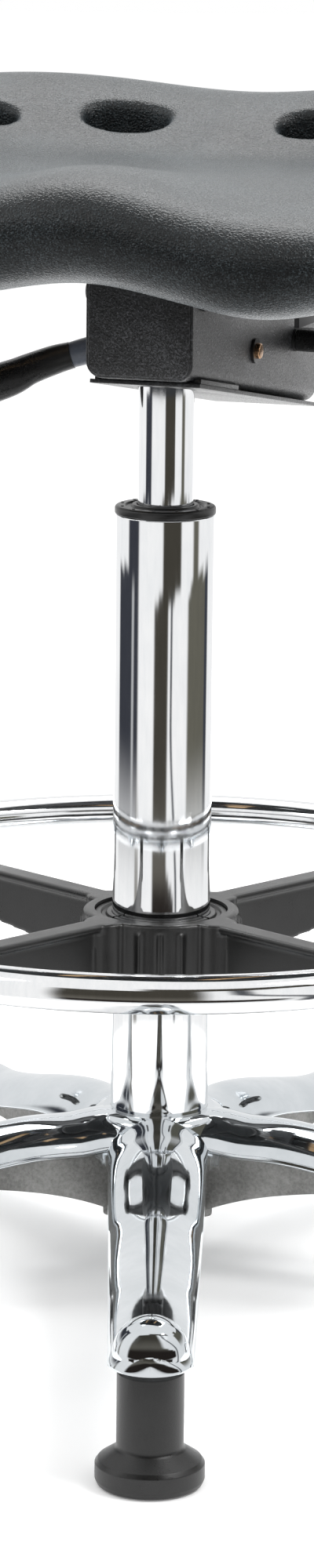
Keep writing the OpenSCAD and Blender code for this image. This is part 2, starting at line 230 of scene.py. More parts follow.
# ---- materials -------------------------------------------------------------------
class Paint:
    """Wires one Principled material whose patterns live in the object's own space."""

    def __init__(self, name, colour, metallic=0.0, rough=0.5, **constants):
        self.material = bpy.data.materials.new(name)
        self.material.use_nodes = True
        self.tree = self.material.node_tree
        self.tree.nodes.clear()
        self.shader = self.node("BsdfPrincipled")
        self.link(self.shader.outputs[0], self.node("OutputMaterial").inputs[0])
        self.place = self.node("TexCoord").outputs["Object"]
        self.put("Base Color", colour)
        self.put("Metallic", metallic)
        self.put("Roughness", rough)
        for key, value in constants.items():
            self.put(key.replace("_", " "), value)

    def node(self, kind):
        return self.tree.nodes.new("ShaderNode" + kind)

    def link(self, a, b):
        self.tree.links.new(a, b)

    def feed(self, target, value):
        """Links a socket to target, or sets target to a value; three numbers are a colour."""
        if isinstance(value, bpy.types.NodeSocket):
            self.link(value, target)
        elif isinstance(value, tuple) and len(value) == 3:
            target.default_value = (*value, 1.0)
        else:
            target.default_value = value

    def put(self, socket, value):
        self.feed(self.shader.inputs[socket], value)

    def stretched(self, scale):
        node = self.node("Mapping")
        self.link(self.place, node.inputs["Vector"])
        node.inputs["Scale"].default_value = scale
        return node.outputs[0]

    def noise(self, size_mm, detail, rough, distort=0.0, where=None):
        node = self.node("TexNoise")
        self.link(where or self.place, node.inputs["Vector"])
        node.inputs["Scale"].default_value = 1000.0 / size_mm
        node.inputs["Detail"].default_value = detail
        node.inputs["Roughness"].default_value = rough
        node.inputs["Distortion"].default_value = distort
        return node.outputs["Fac"]

    def cells(self, size_mm, where, smoothness=0.0):
        node = self.node("TexVoronoi")
        self.link(where, node.inputs["Vector"])
        node.inputs["Scale"].default_value = 1000.0 / size_mm
        if smoothness:
            node.feature = "SMOOTH_F1"
            node.inputs["Smoothness"].default_value = smoothness
        return node.outputs["Distance"]

    def warped(self, size_mm, reach_mm):
        """The object's own space, pushed about by noise."""
        node = self.node("TexNoise")
        self.link(self.place, node.inputs["Vector"])
        node.inputs["Scale"].default_value = 1000.0 / size_mm
        node.inputs["Detail"].default_value = 2.0
        push = self.node("VectorMath")
        push.operation = "MULTIPLY_ADD"
        self.link(node.outputs["Color"], push.inputs[0])
        push.inputs[1].default_value = [reach_mm * MM] * 3
        self.link(self.place, push.inputs[2])
        return push.outputs[0]

    def ramp(self, fac, *stops):
        """A colour from fac, through stops of (position, colour)."""
        node = self.node("ValToRGB")
        self.link(fac, node.inputs["Fac"])
        while len(node.color_ramp.elements) < len(stops):
            node.color_ramp.elements.new(0.5)
        for element, (at, colour) in zip(node.color_ramp.elements, stops):
            element.position = at
            element.color = (*colour, 1.0)
        return node.outputs["Color"]

    def span(self, value, low, high, to_low, to_high):
        """value taken from low..high to to_low..to_high."""
        node = self.node("MapRange")
        self.link(value, node.inputs["Value"])
        for key, number in (("From Min", low), ("From Max", high), ("To Min", to_low), ("To Max", to_high)):
            node.inputs[key].default_value = number
        return node.outputs["Result"]

    def maths(self, how, a, b):
        node = self.node("Math")
        node.operation = how
        self.feed(node.inputs[0], a)
        self.feed(node.inputs[1], b)
        return node.outputs[0]

    def blended(self, fac, a, b):
        node = self.node("Mix")
        node.data_type = "RGBA"
        self.feed(node.inputs["Factor"], fac)
        for key, value in (("A", a), ("B", b)):
            self.link(value, [s for s in node.inputs if s.name == key and s.type == "RGBA"][0])
        return [s for s in node.outputs if s.type == "RGBA"][0]

    def attribute(self, name, output="Fac"):
        node = self.node("Attribute")
        node.attribute_name = name
        return node.outputs[output]

    def total(self, *terms):
        """The sum of (socket, weight) terms."""
        parts = [self.maths("MULTIPLY", socket, weight) for socket, weight in terms]
        result = parts[0]
        for part in parts[1:]:
            result = self.maths("ADD", result, part)
        return result

    def bump(self, height, depth_mm, strength):
        node = self.node("Bump")
        self.link(height, node.inputs["Height"])
        node.inputs["Strength"].default_value = strength
        node.inputs["Distance"].default_value = depth_mm * MM
        self.link(node.outputs["Normal"], self.shader.inputs["Normal"])

    def worn(self, dark, light, size_mm, rough_low, rough_high, fine_mm):
        """Colour drifting between dark and light, and roughness with it."""
        both = self.total((self.noise(size_mm, 5, 0.6), 0.7), (self.noise(fine_mm, 2, 0.5), 0.3))
        self.put("Base Color", self.ramp(both, (0.35, dark), (0.65, light)))
        self.put("Roughness", self.span(both, 0.3, 0.7, rough_low, rough_high))
        return both


def grey(level):
    return (level, level, level)


def seat_foam():
    """Integral-skin polyurethane: leather grain of small raised islands between fine creases, its raised
    specks painted lighter as painted glints.
    """
    p = Paint("seat_foam", grey(0.006), 0.0, 0.4, Specular_IOR_Level=0.27, Sheen_Weight=0.14,
              Sheen_Roughness=0.38, Sheen_Tint=(0.80, 0.92, 1.0, 1.0))
    broad = p.noise(60, 4, 0.55)
    drift = p.noise(7.0, 3, 0.55)
    grain = p.cells(1.25, p.warped(1.8, 0.7))
    speck_and_painted_glint = p.noise(0.75, 2, 0.6)
    crease = p.span(grain, 0.30, 0.62, 0.0, 1.0)
    tone = p.total((broad, 0.35), (speck_and_painted_glint, 0.65))
    # painted glints: the raised specks are painted lighter in the base colour
    p.put("Base Color", p.ramp(tone, (0.42, (0.0008, 0.0013, 0.0015)), (0.52, (0.0028, 0.0042, 0.0048)),
                               (0.62, (0.030, 0.038, 0.042))))
    p.put("Roughness", p.maths("ADD", p.span(crease, 0.0, 1.0, 0.22, 0.36),
                               p.span(speck_and_painted_glint, 0.3, 0.7, 0.05, -0.05)))
    p.bump(p.total((crease, -0.7), (speck_and_painted_glint, 0.9), (drift, 0.5)), 0.17, 1.0)
    return p.material


def plywood():
    """Thin layers edge on, with the figure of the face veneer."""
    p = Paint("plywood", (0.5, 0.33, 0.17), 0.0, 0.6)
    layers = p.noise(1.4, 1, 0.3, 0.0, p.stretched((0.03, 0.03, 1.0)))
    figure = p.noise(5.0, 6, 0.6, 1.2, p.stretched((0.12, 1.0, 1.0)))
    both = p.total((layers, 0.55), (figure, 0.5))
    p.put("Base Color", p.ramp(both, (0.35, (0.25, 0.14, 0.062)), (0.55, (0.47, 0.30, 0.15)),
                               (0.75, (0.60, 0.42, 0.24))))
    p.put("Roughness", p.span(figure, 0.3, 0.7, 0.5, 0.72))
    p.bump(both, 0.08, 0.5)
    return p.material


def bright_metal(name, dark, light, rough_low, rough_high, grain_mm, depth, stretch=(1, 1, 1)):
    """Plated or ground steel; stretch below 1 draws the grain out along that axis."""
    p = Paint(name, light, 1.0, rough_low)
    both = p.worn(dark, light, 35, rough_low, rough_high, grain_mm)
    grain = p.noise(grain_mm, 2, 0.5, 0.0, p.stretched(stretch))
    p.bump(p.total((grain, 1.0), (both, 0.2)), depth, 0.5)
    return p.material


def moulded(name, dark, light, rough_low, rough_high, grain_mm, depth, **more):
    """A moulded plastic or rubber with a fine even grain."""
    p = Paint(name, light, 0.0, rough_low, **more)
    both = p.worn(dark, light, 25, rough_low, rough_high, grain_mm)
    p.bump(p.total((p.noise(grain_mm, 2, 0.5), 1.0), (both, 0.5)), depth, 0.6)
    return p.material


def powder_coat():
    """Wrinkle-finish black powder coat: its crests catch the light as fine specks through lower roughness,
    and are also painted lighter as painted glints, with painted shade in the hollows.
    """
    p = Paint("powder_coat", grey(0.02), 0.0, 0.45, Specular_IOR_Level=0.6)
    wrinkle = p.noise(0.85, 2, 0.6, 0.6)
    islands = p.cells(1.3, p.warped(1.8, 0.8), 0.35)
    tone = p.total((p.noise(45, 4, 0.6), 0.3), (wrinkle, 0.7))
    # painted glints and painted shade: the base colour is lighter on the wrinkle crests and darker in the
    # hollows
    p.put("Base Color", p.ramp(tone, (0.40, (0.003, 0.0033, 0.0035)), (0.52, (0.012, 0.0125, 0.0135)),
                               (0.64, (0.060, 0.062, 0.068))))
    p.put("Roughness", p.span(wrinkle, 0.35, 0.65, 0.46, 0.26))
    p.bump(p.total((wrinkle, 1.0), (islands, 0.5)), 0.24, 1.0)
    return p.material


def chrome():
    """Bright chrome with a faint haze drawn out along the tube."""
    p = Paint("chrome", (0.86, 0.87, 0.88), 1.0, 0.06)
    haze = p.noise(2.5, 3, 0.5, 0.0, p.stretched((1.0, 1.0, 0.12)))
    both = p.total((p.noise(55, 5, 0.6), 0.6), (haze, 0.4))
    p.put("Base Color", p.ramp(both, (0.35, (0.80, 0.815, 0.83)), (0.65, (0.90, 0.905, 0.91))))
    p.put("Roughness", p.span(both, 0.35, 0.65, 0.035, 0.085))
    p.bump(haze, 0.004, 0.4)
    return p.material


def polished_aluminium():
    """Die casting: buffed bright where the polish attribute is 1, as cast where it is 0."""
    p = Paint("polished_aluminium", (0.82, 0.82, 0.81), 1.0, 0.1)
    polish = p.attribute("polish")
    ragged = p.maths("ADD", polish, p.span(p.noise(7, 3, 0.6), 0.3, 0.7, -0.12, 0.12))
    edge = p.span(ragged, 0.4, 0.6, 0.0, 1.0)
    skin = p.noise(1.8, 5, 0.7)
    flow = p.noise(30, 4, 0.6)
    cast = p.ramp(p.total((skin, 0.5), (flow, 0.5)),
                  (0.38, (0.17, 0.17, 0.165)), (0.62, (0.36, 0.36, 0.35)))
    bright = p.ramp(flow, (0.35, (0.60, 0.635, 0.66)), (0.65, (0.69, 0.72, 0.745)))
    p.put("Base Color", p.blended(edge, cast, bright))
    polished = p.span(p.noise(3.0, 3, 0.55, 0.6), 0.3, 0.7, 0.03, 0.075)
    rough_cast = p.span(skin, 0.3, 0.7, 0.50, 0.66)
    p.put("Roughness", p.total((polished, edge), (rough_cast, p.maths("SUBTRACT", 1.0, edge))))
    relief = p.maths("MULTIPLY", skin, p.span(edge, 0.0, 1.0, 1.0, 0.012))
    p.bump(relief, 0.25, 0.8)
    return p.material


MATERIALS = {
    "seat_foam": seat_foam(),
    "plywood": plywood(),
    "zinc_steel": bright_metal("zinc_steel", (0.42, 0.43, 0.42), (0.62, 0.62, 0.60), 0.28, 0.42, 1.2, 0.02),
    "black_bolt": bright_metal("black_bolt", (0.02, 0.02, 0.021), (0.05, 0.05, 0.052), 0.34, 0.5, 0.8, 0.03),
    "powder_coat": powder_coat(),
    "bronzed_rod": bright_metal("bronzed_rod", (0.42, 0.25, 0.14), (0.66, 0.43, 0.27), 0.22, 0.36, 0.9, 0.02),
    "grey_sleeve": moulded("grey_sleeve", (0.030, 0.036, 0.050), (0.060, 0.070, 0.092), 0.28, 0.40, 1.0,
                           0.03),
    "grip_plastic": moulded("grip_plastic", grey(0.005), grey(0.012), 0.24, 0.36, 0.9, 0.05,
                            Specular_IOR_Level=0.34),
    "nylon_black": moulded("nylon_black", grey(0.004), grey(0.011), 0.25, 0.38, 0.8, 0.06,
                           Specular_IOR_Level=0.5),
    "nylon_white": moulded("nylon_white", (0.70, 0.69, 0.64), (0.82, 0.81, 0.77), 0.35, 0.5, 0.8, 0.02),
    "chrome": chrome(),
    "ground_steel": bright_metal("ground_steel", (0.50, 0.51, 0.52), (0.68, 0.69, 0.70), 0.14, 0.24, 0.5,
                                 0.008, (1, 1, 0.1)),
    "buffer_rubber": moulded("buffer_rubber", grey(0.010), grey(0.022), 0.6, 0.78, 0.9, 0.06),
    "polished_aluminium": polished_aluminium(),
}
for name, node in frame["nodes"].items():
    for holder in node.material_slots:
        holder.material = MATERIALS[SLOT_OF[name]]

# ---- seat ------------------------------------------------------------------------
SEAT_W, SEAT_FRONT, SEAT_REAR, SEAT_Z = 444, 175, 187, 567.5
LIP = 27                # rise of the rear rim over the middle
EDGE = 57               # thickness at the front; the rear is EDGE_TAPER thinner
EDGE_TAPER = 15
OUTLINE_POWER, ROLL_POWER, VENT_POWER = 2.4, 9, 2.35
WAIST, WAIST_DEGREES = 0.045, 22    # how far the middle of the front is drawn in, and how wide
RISE_HALF = 56          # half width of the rise between the thighs
CORNER_LIP = 9          # extra rise of the rim at the corners
DISH, DISH_SHARE = 3, 0.35
SEAT_SIDES, SEAT_ROWS = 240, 48
VENTS = [(s * x, y, s * turn) for s in (-1, 1) for x, y, turn in ((52, 92, -4), (125, 62, -32))]
VENT_LONG, VENT_SHORT, VENT_ROUND = 22.6, 12.3, 4.0
VENT_SIDES = 48
PAN_Z = box_mm("seat_board")[0][2]
POCKET_X, POCKET_Y, POCKET_DEEP = 85.2, 75.2, 11


def seat_outline(a):
    """Plan radius at angle a from the front, drawn in a little at the middle of the front."""
    depth = np.where(np.cos(a) > 0, SEAT_FRONT, SEAT_REAR)
    n = OUTLINE_POWER
    r = ((np.abs(np.sin(a)) * 2 / SEAT_W) ** n + (np.abs(np.cos(a)) / depth) ** n) ** (-1 / n)
    w = np.degrees((a + math.pi) % (2 * math.pi) - math.pi)
    return r * (1 - WAIST * np.exp(-(w / WAIST_DEGREES) ** 2))


def seat_wave(a, p):
    """Top and lower waves of the front: both dip for the thighs and rise in the middle."""
    x, y = np.abs(p * seat_outline(a) * np.sin(a)), -p * seat_outline(a) * np.cos(a)
    forward = smooth((-y - 20) / 110)
    rise = np.exp(-(x / RISE_HALF) ** 2)
    top = -8.5 + 17 * rise + 10 * smooth((x - 120) / 90)
    low = -5 + 13.5 * rise - 3 * np.exp(-((x - 86) / 24) ** 2) + 11 * smooth((x - 98) / 90)
    return forward * top, forward * low


def seat_crown(a, p):
    """Height of the top skin at angle a from the front and share p of the way out."""
    side = np.abs(np.sin(a))
    inner, outer = 0.2 + 0.12 * side, 0.72 + 0.2 * side
    back = smooth((0.55 - np.cos(a)) / 1.1)
    lip = back * (LIP + CORNER_LIP * np.sin(2 * a) ** 2) * smooth((p - inner) / (outer - inner))
    return SEAT_Z + lip + seat_wave(a, p)[0] - DISH * np.exp(-(p / DISH_SHARE) ** 2)


def seat_low(a, p):
    """Height of the underside there: flat over the board, then down to the rim's lower edge."""
    top, low = seat_wave(a, p)
    edge = mix(EDGE - EDGE_TAPER, EDGE, (1 + np.cos(a)) / 2) + top - low
    return mix(PAN_Z, seat_crown(a, p) - edge, smooth((p - 0.55) / 0.3))


def seat_height(x, y):
    """Height of the top skin over a seat-frame point."""
    a = np.arctan2(x, -y)
    return seat_crown(a, np.minimum(np.hypot(x, y) / seat_outline(a), 1.0))


def seat_shell():
    """The closed cushion: rows go out over the top skin and back under it."""
    around = np.arange(SEAT_SIDES) / SEAT_SIDES * 2 * math.pi
    shares = np.sin(np.pi / 2 * np.arange(1, SEAT_ROWS + 1) / SEAT_ROWS)
    rows = [(p, 1) for p in shares] + [(p, -1) for p in shares[-2::-1]]
    points = []
    for p, side in rows:
        top, low, r = seat_crown(around, p), seat_low(around, p), p * seat_outline(around)
        z = (top + low) / 2 + side * math.sqrt(max(0.0, 1 - p ** ROLL_POWER)) * (top - low) / 2
        points.append(np.stack([r * np.sin(around), -r * np.cos(around), z], -1))
    return Shape().tube(points)


def vent_tool(x, y, turn):
    """A bore of oval section whose mouth flares out into the skin round it."""
    t = np.arange(VENT_SIDES) / VENT_SIDES * 2 * math.pi
    n = VENT_POWER
    size = (np.abs(np.cos(t) / VENT_LONG) ** n + np.abs(np.sin(t) / VENT_SHORT) ** n) ** (-1 / n)
    c, s = math.cos(math.radians(turn)), math.sin(math.radians(turn))

    def ring(grow):
        u, v = (size + grow) * np.cos(t), (size + grow) * np.sin(t)
        return np.stack([x + u * c - v * s, y + u * s + v * c], -1)

    rings = [np.column_stack([ring(0), np.full(VENT_SIDES, PAN_Z - 60.0)])]
    for k in range(7):
        tilt = math.radians(66 * k / 6)
        flat = ring(VENT_ROUND * (1 - math.cos(tilt)))
        drop = VENT_ROUND * (math.sin(tilt) - 1)
        rings.append(np.column_stack([flat, seat_height(flat[:, 0], flat[:, 1]) + drop]))
    rings.append(rings[-1] + np.array([0, 0, 30.0]))
    return Shape().tube(rings)


def seat_skin():
    """The cushion with its vents and board pocket, remeshed so that its edges run soft."""
    obj = seat_shell().object("seat_skin")
    for place in VENTS:
        cut(obj, vent_tool(*place).object("vent"))
    pocket = Shape().block((-POCKET_X, -POCKET_Y, PAN_Z - 20), (POCKET_X, POCKET_Y, PAN_Z + POCKET_DEEP))
    cut(obj, pocket.object("pocket"))
    baked(obj, ("REMESH", {"mode": "VOXEL", "voxel_size": 1.7 * MM}),
          ("SMOOTH", {"factor": 0.5, "iterations": 5}))
    turn_to_seat(obj)
    finished(obj, "seat_cushion", "seat_foam", sharp=60)


seat_skin()


# ---- hard-edged parts copied from the frame, with their edges broken -------------
def softened(node, width):
    """A copy of a CAD node with clean flats and small rounded edges."""
    mesh = frame["nodes"][node].data.copy()
    work = bmesh.new()
    work.from_mesh(mesh)
    bmesh.ops.remove_doubles(work, verts=work.verts, dist=1e-6)
    bmesh.ops.dissolve_limit(work, angle_limit=math.radians(1.5), verts=work.verts, edges=work.edges)
    edges = [e for e in work.edges if len(e.link_faces) == 2
             and e.calc_face_angle(0.0) > math.radians(35)]
    bmesh.ops.bevel(work, geom=edges, offset=width * MM, segments=2, profile=0.5,
                    affect="EDGES", clamp_overlap=True)
    work.to_mesh(mesh)
    work.free()
    obj = bpy.data.objects.new(node + "_softened", mesh)
    bpy.context.scene.collection.objects.link(obj)
    finished(obj, node, SLOT_OF[node])


for name, width in (("seat_plate", 0.7), ("tilt_link", 0.5), ("box_bottom_plate", 0.5),
                    ("socket_doubler", 0.5), ("socket_bridge", 0.5), ("seat_bolts", 0.5),
                    ("tilt_clamp_nut", 0.5), ("height_crank", 0.6), ("valve_rocker", 0.5),
                    ("foot_ring_screws", 0.5)):
    softened(name, width)


# ---- control box -----------------------------------------------------------------
SHEET, BEND = 2.5, 8.0
BOX_HALF, BOX_FRONT, BOX_REAR, BOX_TOP = 27.5, -47.0, 178.0, box_mm("control_box")[1][2]
BOX_SLOPE, BOX_LOW = math.radians(9.5), 455.0
PLATE = 2.3             # thickness of the bottom plate under the box
LAP, RIM = 1.0, 1.4     # how far the end flaps stand out past the sides, and lie inside them
REAR_DROP = 12          # how much lower the rear flap is than the sides


def trough(side, low, r, top, steps):
    """Down a wall, round a bend, across, round a bend and up, as (x, z) points."""
    bend = np.linspace(0, math.pi / 2, steps)
    return ([(-side, top)]
            + [(-side + r - r * math.cos(t), low + r - r * math.sin(t)) for t in bend]
            + [(side - r + r * math.sin(t), low + r - r * math.cos(t)) for t in bend]
            + [(side, top)])


def folded_box():
    """A folded channel with rounded lower bends and two end flaps, a slit at each corner."""
    def under(y):
        return BOX_LOW + PLATE / math.cos(BOX_SLOPE) - y * math.tan(BOX_SLOPE)

    def section(y, top):
        outer = trough(BOX_HALF, under(y), BEND, top, 7)
        inner = trough(BOX_HALF - SHEET, under(y) + SHEET, BEND - SHEET, top, 7)
        return [(x, y, z) for x, z in outer + inner[::-1]]

    def flap(y, thickness, top):
        edge = trough(BOX_HALF - RIM, under(y) + RIM, BEND - RIM, top, 9)
        return [[(x, at, z) for x, z in edge] for at in (y, y + thickness)]

    shape = Shape().tube([section(BOX_FRONT + LAP, BOX_TOP), section(BOX_REAR - 30, BOX_TOP),
                          section(BOX_REAR - LAP, BOX_TOP - REAR_DROP + 0.4)])
    shape.tube(flap(BOX_FRONT + SHEET, -SHEET, BOX_TOP))
    shape.tube(flap(BOX_REAR - SHEET, SHEET, BOX_TOP - REAR_DROP))
    obj = shape.object("control_box_shell")
    cut(obj, Shape().block((BOX_HALF - 5, 66, 483), (BOX_HALF + 5, 94, 540)).object("notch"))
    turn_to_seat(obj)
    baked(obj, ("BEVEL", {"width": 0.7 * MM, "segments": 3, "limit_method": "ANGLE",
                          "angle_limit": math.radians(40)}))
    finished(obj, "control_box", "powder_coat")


folded_box()


# ---- levers ----------------------------------------------------------------------
LEVER_Y, LEVER_Z = 60.0, 468.5
CLAMP_Y, CLAMP_Z = 136.0, 466.0
ROD_R = 4.0
GRIP_SIDES, GRIP_STEPS = 40, 10


def rod(low, high, edge, place):
    """A round rod from low to high whose ends are broken by edge."""
    outline = filleted([(0.0, low, 0), (ROD_R, low, edge), (ROD_R, high, edge), (0.0, high, 0)],
                       closed=False)
    return Shape().revolved(outline, place, 40)


def spline(knots, steps):
    """Catmull-Rom through rows of numbers."""
    knots = np.asarray(knots, float)
    padded = np.vstack([2 * knots[0] - knots[1], knots, 2 * knots[-1] - knots[-2]])
    out = []
    for k in range(len(knots) - 1):
        p0, p1, p2, p3 = padded[k:k + 4]
        for t in np.linspace(0, 1, steps, endpoint=False):
            out.append(0.5 * (2 * p1 + (p2 - p0) * t + (2 * p0 - 5 * p1 + 4 * p2 - p3) * t ** 2
                              + (3 * p1 - p0 - 3 * p2 + p3) * t ** 3))
    out.append(knots[-1])
    return np.array(out)


def grip(knots, square=2.4, tail=0.8):
    """A moulded grip through (x, y, z, half width, half height), with a rounded far end."""
    rows = spline(knots, GRIP_STEPS)
    heading = np.gradient(rows[:, :3], axis=0)
    heading /= np.linalg.norm(heading, axis=1)[:, None]
    end, out = rows[-1], heading[-1]
    for k in range(1, 8):
        t = math.pi / 2 * k / 7
        cap = end.copy()
        cap[:3] += out * end[3] * tail * math.sin(t)
        cap[3:] *= max(math.cos(t), 0.02)
        rows = np.vstack([rows, cap])
        heading = np.vstack([heading, out])
    t = np.arange(GRIP_SIDES) / GRIP_SIDES * 2 * math.pi
    u = np.sign(np.cos(t)) * np.abs(np.cos(t)) ** (2 / square)
    v = np.sign(np.sin(t)) * np.abs(np.sin(t)) ** (2 / square)
    rings = []
    for row, d in zip(rows, heading):
        side = np.cross(d, (0, 0, 1.0))
        side /= np.linalg.norm(side)
        up = np.cross(side, d)
        rings.append(row[:3] + u[:, None] * side * row[3] + v[:, None] * up * row[4])
    return Shape().tube(rings)


height_rod = rod(-50, 31.5, 0.9, across(LEVER_Y, LEVER_Z))
height_sleeve = grip([(-31, LEVER_Y, LEVER_Z, 7.0, 7.0), (-42, LEVER_Y, LEVER_Z - 0.4, 7.1, 7.1),
                      (-54, LEVER_Y, 466.4, 7.1, 7.1), (-63, 59.9, 464.0, 6.9, 6.9),
                      (-71.4, 59.4, 461.4, 6.6, 6.6)], square=2.0, tail=0.12)
height_handle = grip([(-70.2, 59.5, 461.7, 7.2, 6.9), (-79, 57.4, 459.0, 7.6, 7.5),
                      (-90.5, 52.7, 454.4, 7.7, 8.0), (-101.5, 45.3, 449.0, 8.0, 9.4),
                      (-124, 25, 442, 8.8, 10.2), (-140, 8, 439.5, 8.8, 9.8)])
tilt_rod = rod(-30, 49, 0.8, across(CLAMP_Y, CLAMP_Z))
tilt_handle = grip([(29.5, CLAMP_Y, CLAMP_Z, 6.2, 6.2), (42, 135.6, 465.6, 6.4, 6.4),
                    (54, 132, 464, 6.6, 6.8), (66, 127.5, 461, 7.0, 7.0),
                    (92, 106, 455, 7.8, 8.2), (106, 88, 453, 8.0, 9.0)])
for shape, name, node, slot in (
        (height_rod, "height_rod", "height_shaft", "bronzed_rod"),
        (height_sleeve, "height_sleeve", "height_ferrule", "grey_sleeve"),
        (height_handle, "height_handle", "height_grip", "grip_plastic"),
        (tilt_rod, "tilt_rod", "tilt_shaft", "zinc_steel"),
        (tilt_handle, "tilt_handle", "tilt_grip", "grip_plastic")):
    finished(shape.mapped(turned).object(name), node, slot)


# ---- column ----------------------------------------------------------------------
tube_low, tube_high = box_mm("column_tube")
TUBE_R, TUBE_TOP, TUBE_BOTTOM = tube_high[0], tube_high[2], tube_low[2]
TUBE_BORE = 23
shape = Shape().revolved(filleted([(TUBE_BORE, TUBE_BOTTOM, 0.4), (TUBE_R, TUBE_BOTTOM, 0.8),
                                   (TUBE_R, TUBE_TOP, 0.8), (TUBE_BORE, TUBE_TOP, 0.4)]), turns=160)
finished(shape.object("column_sleeve"), "column_tube", "chrome")

COLLAR_R, COLLAR_TOP = 25.5, TUBE_TOP + 5
PIPS, PIP_CIRCLE = 12, 22.4     # small raised pips round the collar's groove
shape = Shape().revolved(filleted([(14.5, TUBE_TOP + 0.1, 0.2), (COLLAR_R, TUBE_TOP + 0.1, 0.8),
                                   (COLLAR_R, COLLAR_TOP - 0.6, 1.6), (20.5, COLLAR_TOP - 0.6, 0.5),
                                   (19.6, COLLAR_TOP - 1.5, 0.4), (17.4, COLLAR_TOP - 1.5, 0.4),
                                   (16.6, COLLAR_TOP, 0.5), (14.5, COLLAR_TOP, 0.7)]), turns=128)
pip = filleted([(0.0, COLLAR_TOP - 1.2, 0), (0.9, COLLAR_TOP - 1.2, 0), (0.8, COLLAR_TOP - 0.3, 0.2),
                (0.0, COLLAR_TOP - 0.3, 0)], closed=False)
for k in range(PIPS):
    angle = 2 * math.pi * (k + 0.5) / PIPS
    shape.revolved(pip, upright(PIP_CIRCLE * math.cos(angle), PIP_CIRCLE * math.sin(angle)), 16)
finished(shape.object("column_cap"), "column_collar", "nylon_black")

gas_low, gas_high = box_mm("gas_cylinder")
GAS_R, GAS_BORE, VALVE_BORE = 14, 12.5, 4.1
TAPER_LOW, VALVE_LOW = 456, 440
shape = Shape().revolved(filleted([(GAS_BORE, gas_low[2], 0.4), (GAS_R, gas_low[2], 0.8),
                                   (GAS_R, TAPER_LOW, 0), (13.2, gas_high[2], 0.8),
                                   (VALVE_BORE, gas_high[2], 0.3), (VALVE_BORE, VALVE_LOW, 0),
                                   (GAS_BORE, VALVE_LOW, 0)]), turns=128)
finished(shape.object("gas_sleeve"), "gas_cylinder", "chrome")


# ---- foot ring -------------------------------------------------------------------
RING_R, RING_TUBE, RING_Z = 200.6, 9.5, 194.4
HUB_TOP, HUB_BOTTOM, HUB_R, BUSH_R = 188.0, 148.0, 40.0, 34.0
SPOKES = [45 + 90 * k for k in range(4)]
SPOKE_FLANGE, SADDLE_LOW = 7.0, 168.0
RIB_STEP, RIB_CLEAR = 15, 16    # degrees between ribs, and from a rib to a spoke
RUN = 0.1               # running gap round the tube and the bush


def ring_torus(extra):
    """The ring's tube, thicker by extra."""
    size = RING_TUBE + extra
    return Shape().revolved([(RING_R + size * math.cos(t), RING_Z + size * math.sin(t))
                             for t in circle(32)], turns=288)


finished(ring_torus(0).object("foot_ring_tube"), "foot_ring", "chrome")


def hub_spoke():
    """One spoke along x: a flanged web, its root on the hub and its saddle under the ring."""
    web = []
    for r in np.linspace(35, RING_R - 8, 24):
        low = mix(HUB_BOTTOM + 2, SADDLE_LOW, (r - 36) / (RING_R - 44))
        thick = mix(3.2, 2.4, (r - 36) / 160)
        right = [(r, thick, low), (r, thick * 0.9, HUB_TOP - 4), (r, SPOKE_FLANGE, HUB_TOP - 3.4),
                 (r, SPOKE_FLANGE, HUB_TOP - 0.4), (r, SPOKE_FLANGE - 1.2, HUB_TOP)]
        web.append(right + [(x, -y, z) for x, y, z in right[::-1]])
    lobe = [[(40 + (10 + grow) * math.cos(t), (11 + grow) * math.sin(t), z) for t in circle(28)]
            for z, grow in ((HUB_BOTTOM, -0.6), (HUB_BOTTOM + 0.8, 0), (HUB_TOP - 0.8, 0), (HUB_TOP, -0.8))]
    saddle = [[(RING_R - 4.5 + (13.5 + grow) * np.sign(math.cos(t)) * abs(math.cos(t)) ** 0.5,
                (12 + grow) * np.sign(math.sin(t)) * abs(math.sin(t)) ** 0.5, z) for t in circle(36)]
              for z, grow in ((SADDLE_LOW, -0.8), (SADDLE_LOW + 1, 0.2), (RING_Z - 1, 0.0), (RING_Z, -0.6))]
    return Shape().tube(web).tube(lobe).tube(saddle)


def ring_hub():
    """Four spokes on a ribbed barrel, bored for the bush and hollowed for the ring."""
    shape, spoke = Shape(), hub_spoke()
    for angle in SPOKES:
        shape.add(spun(spoke.points, angle), spoke.faces)
    shape.revolved(filleted([(BUSH_R - 6, HUB_BOTTOM, 0.5), (HUB_R, HUB_BOTTOM, 1.2), (HUB_R, HUB_TOP, 1.6),
                             (BUSH_R - 6, HUB_TOP, 0.8)]), turns=128)
    rib = Shape().tube([[(39, -1.2, z), (41.6, -0.9, z), (41.6, 0.9, z), (39, 1.2, z)]
                        for z in (HUB_BOTTOM + 2, HUB_TOP - 5)])
    for angle in range(0, 360, RIB_STEP):
        if min(abs((angle - s + 180) % 360 - 180) for s in SPOKES) >= RIB_CLEAR:
            shape.add(spun(rib.points, angle), rib.faces)
    obj = shape.object("foot_ring_spider")
    baked(obj, ("REMESH", {"mode": "VOXEL", "voxel_size": 1.1 * MM}))
    bore = Shape().revolved([(0.0, 100), (BUSH_R + RUN, 100), (BUSH_R + RUN, 240), (0.0, 240)], turns=160)
    cut(obj, bore.object("bore"))
    cut(obj, ring_torus(0.05).object("seat_of_ring"))
    finished(obj, "foot_ring_hub", "nylon_black", sharp=50)


ring_hub()


